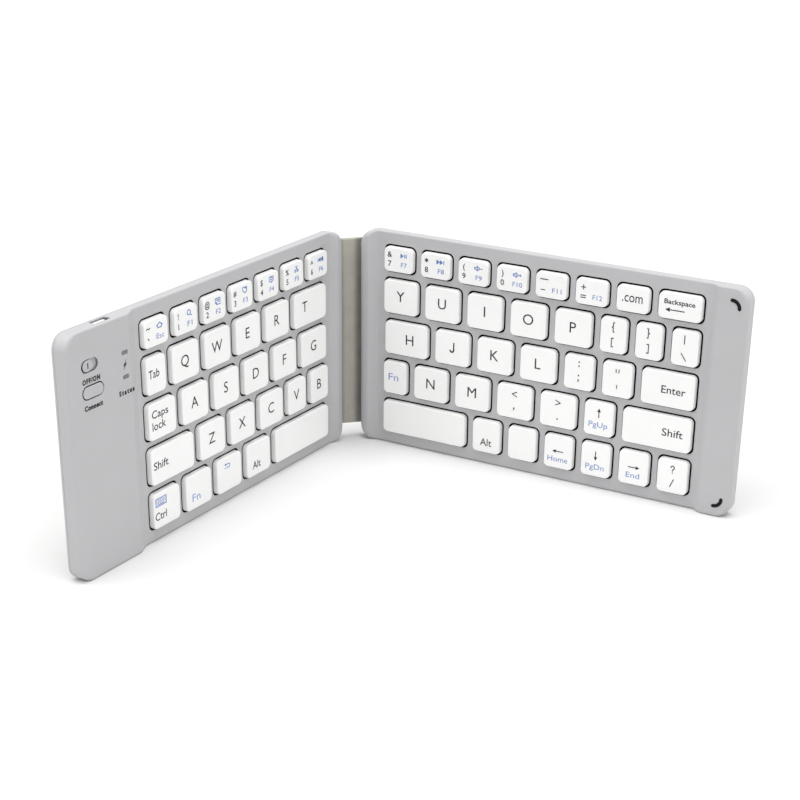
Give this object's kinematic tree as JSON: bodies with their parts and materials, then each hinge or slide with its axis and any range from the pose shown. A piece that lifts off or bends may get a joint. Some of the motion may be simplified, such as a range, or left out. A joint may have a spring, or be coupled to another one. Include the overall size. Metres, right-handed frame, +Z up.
{
  "type": "folding keyboard",
  "caption": "Compact wireless keyboard in two plastic halves that fold on a leather spine, with sprung keys, a slide switch, a connect button and a charging socket.",
  "frame": {"origin": "centre of the standing part's box, on the floor under its long front edge", "axes": "+Z up along the key columns, +X along the spine towards the right half, -Y towards the open side of the V"},
  "size_m": [0.24, 0.114, 0.0854],
  "materials": {
    "shell_plastic": "fine matt texture",
    "key_plastic": "smooth satin",
    "leather": "fine grain",
    "lining": "fine grain",
    "steel": "plain",
    "rubber": "matt",
    "battery_foil": "foil",
    "board": "lacquered",
    "light_guide": "translucent",
    "cable": "film"
  },
  "bodies": {
    "left_half": {"left_bottom_cover": "shell_plastic", "left_top_frame": "shell_plastic", "left_leather": "leather", "left_base_plate": "steel", "left_dome_sheet": "rubber", "battery": "battery_foil", "control_board": "board", "charging_socket": "steel", "status_lights": "light_guide"},
    "spine": {"spine_leather": "leather", "spine_lining": "lining", "flex_cable": "cable"},
    "right_half": {"right_bottom_cover": "shell_plastic", "right_top_frame": "shell_plastic", "right_leather": "leather", "right_base_plate": "steel", "right_dome_sheet": "rubber", "rubber_bumpers": "rubber"},
    "power_switch": {"power_switch": "shell_plastic"},
    "connect_button": {"connect_button": "shell_plastic"},
    "left_number_row": {"left_number_row": "key_plastic"},
    "key_t": {"key_t": "key_plastic"},
    "key_r": {"key_r": "key_plastic"},
    "key_e": {"key_e": "key_plastic"},
    "key_w": {"key_w": "key_plastic"},
    "key_q": {"key_q": "key_plastic"},
    "key_tab": {"key_tab": "key_plastic"},
    "key_g": {"key_g": "key_plastic"},
    "key_f": {"key_f": "key_plastic"},
    "key_d": {"key_d": "key_plastic"},
    "key_s": {"key_s": "key_plastic"},
    "key_a": {"key_a": "key_plastic"},
    "key_caps_lock": {"key_caps_lock": "key_plastic"},
    "key_b": {"key_b": "key_plastic"},
    "key_v": {"key_v": "key_plastic"},
    "key_c": {"key_c": "key_plastic"},
    "key_x": {"key_x": "key_plastic"},
    "key_z": {"key_z": "key_plastic"},
    "key_left_shift": {"key_left_shift": "key_plastic"},
    "key_left_space": {"key_left_space": "key_plastic"},
    "left_modifiers": {"left_modifiers": "key_plastic"},
    "right_number_row": {"right_number_row": "key_plastic"},
    "key_backspace": {"key_backspace": "key_plastic"},
    "key_y": {"key_y": "key_plastic"},
    "key_u": {"key_u": "key_plastic"},
    "key_i": {"key_i": "key_plastic"},
    "key_o": {"key_o": "key_plastic"},
    "key_p": {"key_p": "key_plastic"},
    "punctuation_keys": {"punctuation_keys": "key_plastic"},
    "key_h": {"key_h": "key_plastic"},
    "key_j": {"key_j": "key_plastic"},
    "key_k": {"key_k": "key_plastic"},
    "key_l": {"key_l": "key_plastic"},
    "key_enter": {"key_enter": "key_plastic"},
    "right_modifiers": {"right_modifiers": "key_plastic"},
    "key_n": {"key_n": "key_plastic"},
    "key_m": {"key_m": "key_plastic"},
    "arrow_keys": {"arrow_keys": "key_plastic"},
    "key_right_shift": {"key_right_shift": "key_plastic"},
    "key_right_space": {"key_right_space": "key_plastic"}
  },
  "joints": [
    {"name": "spine_fold", "type": "hinge", "parent": "left_half", "child": "spine", "pos_m": [-0.0068, 0.05674, 0], "axis": [0, 0, 1], "range_deg": [-46, 44]},
    {"name": "right_fold", "type": "hinge", "parent": "spine", "child": "right_half", "pos_m": [0.0068, 0.05674, 0], "axis": [0, 0, 1], "range_deg": [-46, 44]},
    {"name": "power_slide", "type": "slide", "parent": "left_half", "child": "power_switch", "axis": [0.7193, 0.6947, 0], "range_m": [0, 0.0023]},
    {"name": "connect_press", "type": "slide", "parent": "left_half", "child": "connect_button", "axis": [-0.6947, 0.7193, 0], "range_m": [0, 0.0004], "stiffness_N_per_m": 1000},
    {"name": "left_number_row_press", "type": "slide", "parent": "left_half", "child": "left_number_row", "axis": [-0.6947, 0.7193, 0], "range_m": [0, 0.0012], "stiffness_N_per_m": 900, "deforming": ["left_dome_sheet"]},
    {"name": "key_t_press", "type": "slide", "parent": "left_half", "child": "key_t", "axis": [-0.6947, 0.7193, 0], "range_m": [0, 0.0012], "stiffness_N_per_m": 400, "deforming": ["left_dome_sheet"]},
    {"name": "key_r_press", "type": "slide", "parent": "left_half", "child": "key_r", "axis": [-0.6947, 0.7193, 0], "range_m": [0, 0.0012], "stiffness_N_per_m": 400, "deforming": ["left_dome_sheet"]},
    {"name": "key_e_press", "type": "slide", "parent": "left_half", "child": "key_e", "axis": [-0.6947, 0.7193, 0], "range_m": [0, 0.0012], "stiffness_N_per_m": 400, "deforming": ["left_dome_sheet"]},
    {"name": "key_w_press", "type": "slide", "parent": "left_half", "child": "key_w", "axis": [-0.6947, 0.7193, 0], "range_m": [0, 0.0012], "stiffness_N_per_m": 400, "deforming": ["left_dome_sheet"]},
    {"name": "key_q_press", "type": "slide", "parent": "left_half", "child": "key_q", "axis": [-0.6947, 0.7193, 0], "range_m": [0, 0.0012], "stiffness_N_per_m": 400, "deforming": ["left_dome_sheet"]},
    {"name": "key_tab_press", "type": "slide", "parent": "left_half", "child": "key_tab", "axis": [-0.6947, 0.7193, 0], "range_m": [0, 0.0012], "stiffness_N_per_m": 400, "deforming": ["left_dome_sheet"]},
    {"name": "key_g_press", "type": "slide", "parent": "left_half", "child": "key_g", "axis": [-0.6947, 0.7193, 0], "range_m": [0, 0.0012], "stiffness_N_per_m": 400, "deforming": ["left_dome_sheet"]},
    {"name": "key_f_press", "type": "slide", "parent": "left_half", "child": "key_f", "axis": [-0.6947, 0.7193, 0], "range_m": [0, 0.0012], "stiffness_N_per_m": 400, "deforming": ["left_dome_sheet"]},
    {"name": "key_d_press", "type": "slide", "parent": "left_half", "child": "key_d", "axis": [-0.6947, 0.7193, 0], "range_m": [0, 0.0012], "stiffness_N_per_m": 400, "deforming": ["left_dome_sheet"]},
    {"name": "key_s_press", "type": "slide", "parent": "left_half", "child": "key_s", "axis": [-0.6947, 0.7193, 0], "range_m": [0, 0.0012], "stiffness_N_per_m": 400, "deforming": ["left_dome_sheet"]},
    {"name": "key_a_press", "type": "slide", "parent": "left_half", "child": "key_a", "axis": [-0.6947, 0.7193, 0], "range_m": [0, 0.0012], "stiffness_N_per_m": 400, "deforming": ["left_dome_sheet"]},
    {"name": "key_caps_lock_press", "type": "slide", "parent": "left_half", "child": "key_caps_lock", "axis": [-0.6947, 0.7193, 0], "range_m": [0, 0.0012], "stiffness_N_per_m": 400, "deforming": ["left_dome_sheet"]},
    {"name": "key_b_press", "type": "slide", "parent": "left_half", "child": "key_b", "axis": [-0.6947, 0.7193, 0], "range_m": [0, 0.0012], "stiffness_N_per_m": 400, "deforming": ["left_dome_sheet"]},
    {"name": "key_v_press", "type": "slide", "parent": "left_half", "child": "key_v", "axis": [-0.6947, 0.7193, 0], "range_m": [0, 0.0012], "stiffness_N_per_m": 400, "deforming": ["left_dome_sheet"]},
    {"name": "key_c_press", "type": "slide", "parent": "left_half", "child": "key_c", "axis": [-0.6947, 0.7193, 0], "range_m": [0, 0.0012], "stiffness_N_per_m": 400, "deforming": ["left_dome_sheet"]},
    {"name": "key_x_press", "type": "slide", "parent": "left_half", "child": "key_x", "axis": [-0.6947, 0.7193, 0], "range_m": [0, 0.0012], "stiffness_N_per_m": 400, "deforming": ["left_dome_sheet"]},
    {"name": "key_z_press", "type": "slide", "parent": "left_half", "child": "key_z", "axis": [-0.6947, 0.7193, 0], "range_m": [0, 0.0012], "stiffness_N_per_m": 400, "deforming": ["left_dome_sheet"]},
    {"name": "key_left_shift_press", "type": "slide", "parent": "left_half", "child": "key_left_shift", "axis": [-0.6947, 0.7193, 0], "range_m": [0, 0.0012], "stiffness_N_per_m": 400, "deforming": ["left_dome_sheet"]},
    {"name": "key_left_space_press", "type": "slide", "parent": "left_half", "child": "key_left_space", "axis": [-0.6947, 0.7193, 0], "range_m": [0, 0.0012], "stiffness_N_per_m": 400, "deforming": ["left_dome_sheet"]},
    {"name": "left_modifiers_press", "type": "slide", "parent": "left_half", "child": "left_modifiers", "axis": [-0.6947, 0.7193, 0], "range_m": [0, 0.0012], "stiffness_N_per_m": 900, "deforming": ["left_dome_sheet"]},
    {"name": "right_number_row_press", "type": "slide", "parent": "right_half", "child": "right_number_row", "axis": [0.6947, 0.7193, 0], "range_m": [0, 0.0012], "stiffness_N_per_m": 900, "deforming": ["right_dome_sheet"]},
    {"name": "key_backspace_press", "type": "slide", "parent": "right_half", "child": "key_backspace", "axis": [0.6947, 0.7193, 0], "range_m": [0, 0.0012], "stiffness_N_per_m": 400, "deforming": ["right_dome_sheet"]},
    {"name": "key_y_press", "type": "slide", "parent": "right_half", "child": "key_y", "axis": [0.6947, 0.7193, 0], "range_m": [0, 0.0012], "stiffness_N_per_m": 400, "deforming": ["right_dome_sheet"]},
    {"name": "key_u_press", "type": "slide", "parent": "right_half", "child": "key_u", "axis": [0.6947, 0.7193, 0], "range_m": [0, 0.0012], "stiffness_N_per_m": 400, "deforming": ["right_dome_sheet"]},
    {"name": "key_i_press", "type": "slide", "parent": "right_half", "child": "key_i", "axis": [0.6947, 0.7193, 0], "range_m": [0, 0.0012], "stiffness_N_per_m": 400, "deforming": ["right_dome_sheet"]},
    {"name": "key_o_press", "type": "slide", "parent": "right_half", "child": "key_o", "axis": [0.6947, 0.7193, 0], "range_m": [0, 0.0012], "stiffness_N_per_m": 400, "deforming": ["right_dome_sheet"]},
    {"name": "key_p_press", "type": "slide", "parent": "right_half", "child": "key_p", "axis": [0.6947, 0.7193, 0], "range_m": [0, 0.0012], "stiffness_N_per_m": 400, "deforming": ["right_dome_sheet"]},
    {"name": "punctuation_keys_press", "type": "slide", "parent": "right_half", "child": "punctuation_keys", "axis": [0.6947, 0.7193, 0], "range_m": [0, 0.0012], "stiffness_N_per_m": 900, "deforming": ["right_dome_sheet"]},
    {"name": "key_h_press", "type": "slide", "parent": "right_half", "child": "key_h", "axis": [0.6947, 0.7193, 0], "range_m": [0, 0.0012], "stiffness_N_per_m": 400, "deforming": ["right_dome_sheet"]},
    {"name": "key_j_press", "type": "slide", "parent": "right_half", "child": "key_j", "axis": [0.6947, 0.7193, 0], "range_m": [0, 0.0012], "stiffness_N_per_m": 400, "deforming": ["right_dome_sheet"]},
    {"name": "key_k_press", "type": "slide", "parent": "right_half", "child": "key_k", "axis": [0.6947, 0.7193, 0], "range_m": [0, 0.0012], "stiffness_N_per_m": 400, "deforming": ["right_dome_sheet"]},
    {"name": "key_l_press", "type": "slide", "parent": "right_half", "child": "key_l", "axis": [0.6947, 0.7193, 0], "range_m": [0, 0.0012], "stiffness_N_per_m": 400, "deforming": ["right_dome_sheet"]},
    {"name": "key_enter_press", "type": "slide", "parent": "right_half", "child": "key_enter", "axis": [0.6947, 0.7193, 0], "range_m": [0, 0.0012], "stiffness_N_per_m": 400, "deforming": ["right_dome_sheet"]},
    {"name": "right_modifiers_press", "type": "slide", "parent": "right_half", "child": "right_modifiers", "axis": [0.6947, 0.7193, 0], "range_m": [0, 0.0012], "stiffness_N_per_m": 900, "deforming": ["right_dome_sheet"]},
    {"name": "key_n_press", "type": "slide", "parent": "right_half", "child": "key_n", "axis": [0.6947, 0.7193, 0], "range_m": [0, 0.0012], "stiffness_N_per_m": 400, "deforming": ["right_dome_sheet"]},
    {"name": "key_m_press", "type": "slide", "parent": "right_half", "child": "key_m", "axis": [0.6947, 0.7193, 0], "range_m": [0, 0.0012], "stiffness_N_per_m": 400, "deforming": ["right_dome_sheet"]},
    {"name": "arrow_keys_press", "type": "slide", "parent": "right_half", "child": "arrow_keys", "axis": [0.6947, 0.7193, 0], "range_m": [0, 0.0012], "stiffness_N_per_m": 900, "deforming": ["right_dome_sheet"]},
    {"name": "key_right_shift_press", "type": "slide", "parent": "right_half", "child": "key_right_shift", "axis": [0.6947, 0.7193, 0], "range_m": [0, 0.0012], "stiffness_N_per_m": 400, "deforming": ["right_dome_sheet"]},
    {"name": "key_right_space_press", "type": "slide", "parent": "right_half", "child": "key_right_space", "axis": [0.6947, 0.7193, 0], "range_m": [0, 0.0012], "stiffness_N_per_m": 400, "deforming": ["right_dome_sheet"]}
  ],
  "couplings": [
    {"joint": "spine_fold", "follows": "right_fold", "ratio": 1}
  ]
}
